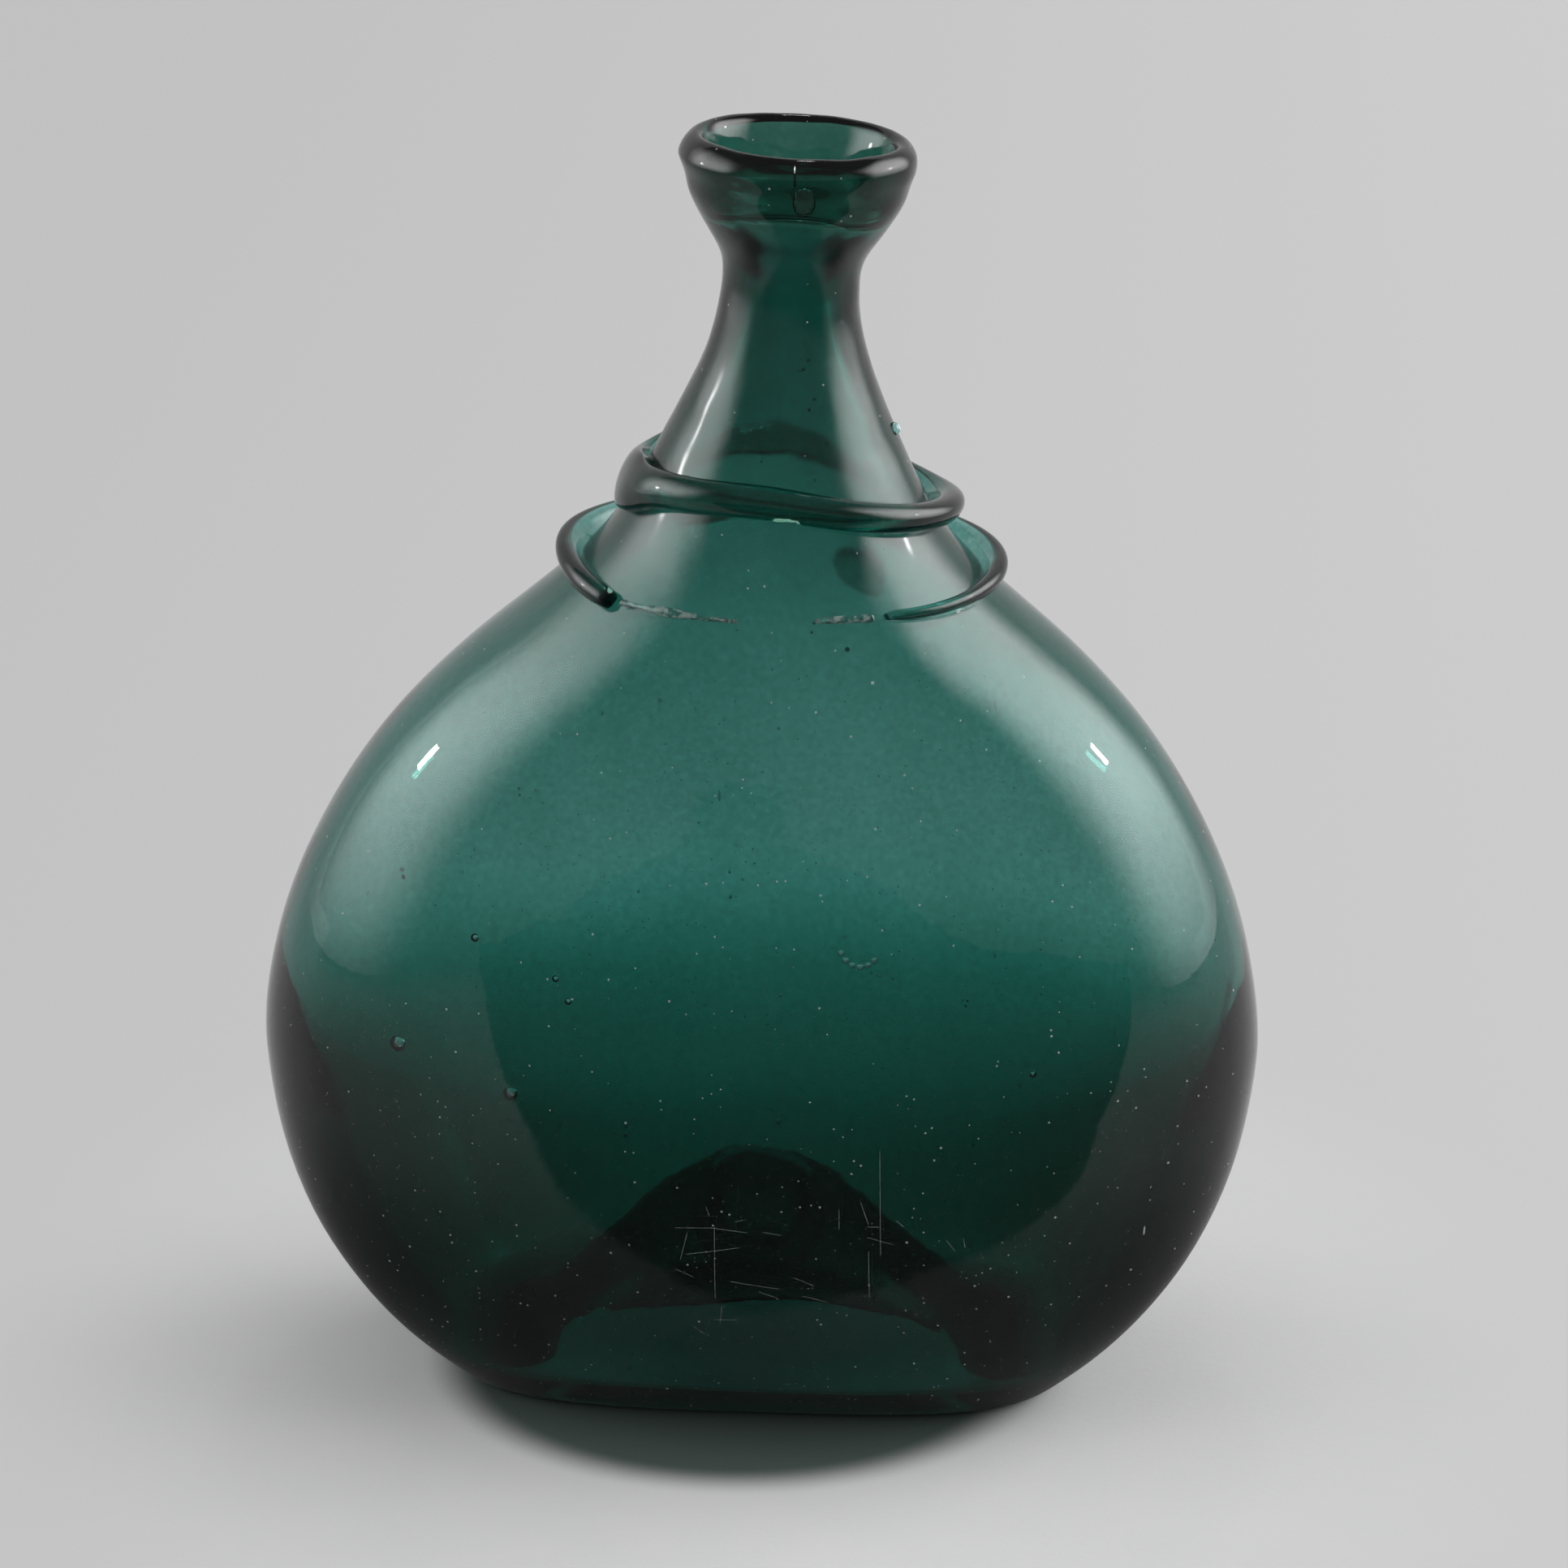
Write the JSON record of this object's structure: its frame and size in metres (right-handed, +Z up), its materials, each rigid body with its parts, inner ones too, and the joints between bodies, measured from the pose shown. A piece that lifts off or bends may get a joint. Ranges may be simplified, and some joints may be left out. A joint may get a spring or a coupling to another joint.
{
  "type": "glass flask",
  "caption": "Flattened hand-blown glass flask with a kicked base, leaning neck, folded lip and glass threads round the neck.",
  "frame": {"origin": "on the standing surface, under the middle of the belly", "axes": "+X across the broad face, towards the side that the neck leans to; +Y through the thin side, away from the picture's viewer; +Z up"},
  "size_m": [0.1316, 0.066, 0.1707],
  "materials": {
    "body_glass": "clear teal green glass, fire-polished, with seeds, specks and fine scratches",
    "lip_glass": "the same glass twice as thick, so darker, with a crack",
    "thread_glass": "the same glass in solid threads, dark at their edges"
  },
  "bodies": {
    "root": {"blown_bulb": "body_glass", "folded_lip": "lip_glass", "upper_thread": "thread_glass", "lower_thread": "thread_glass", "left_sliver": "thread_glass", "right_sliver": "thread_glass", "shoulder_drop": "thread_glass", "neck_bead": "thread_glass", "pontil_scar": "body_glass"}
  },
  "joints": []
}
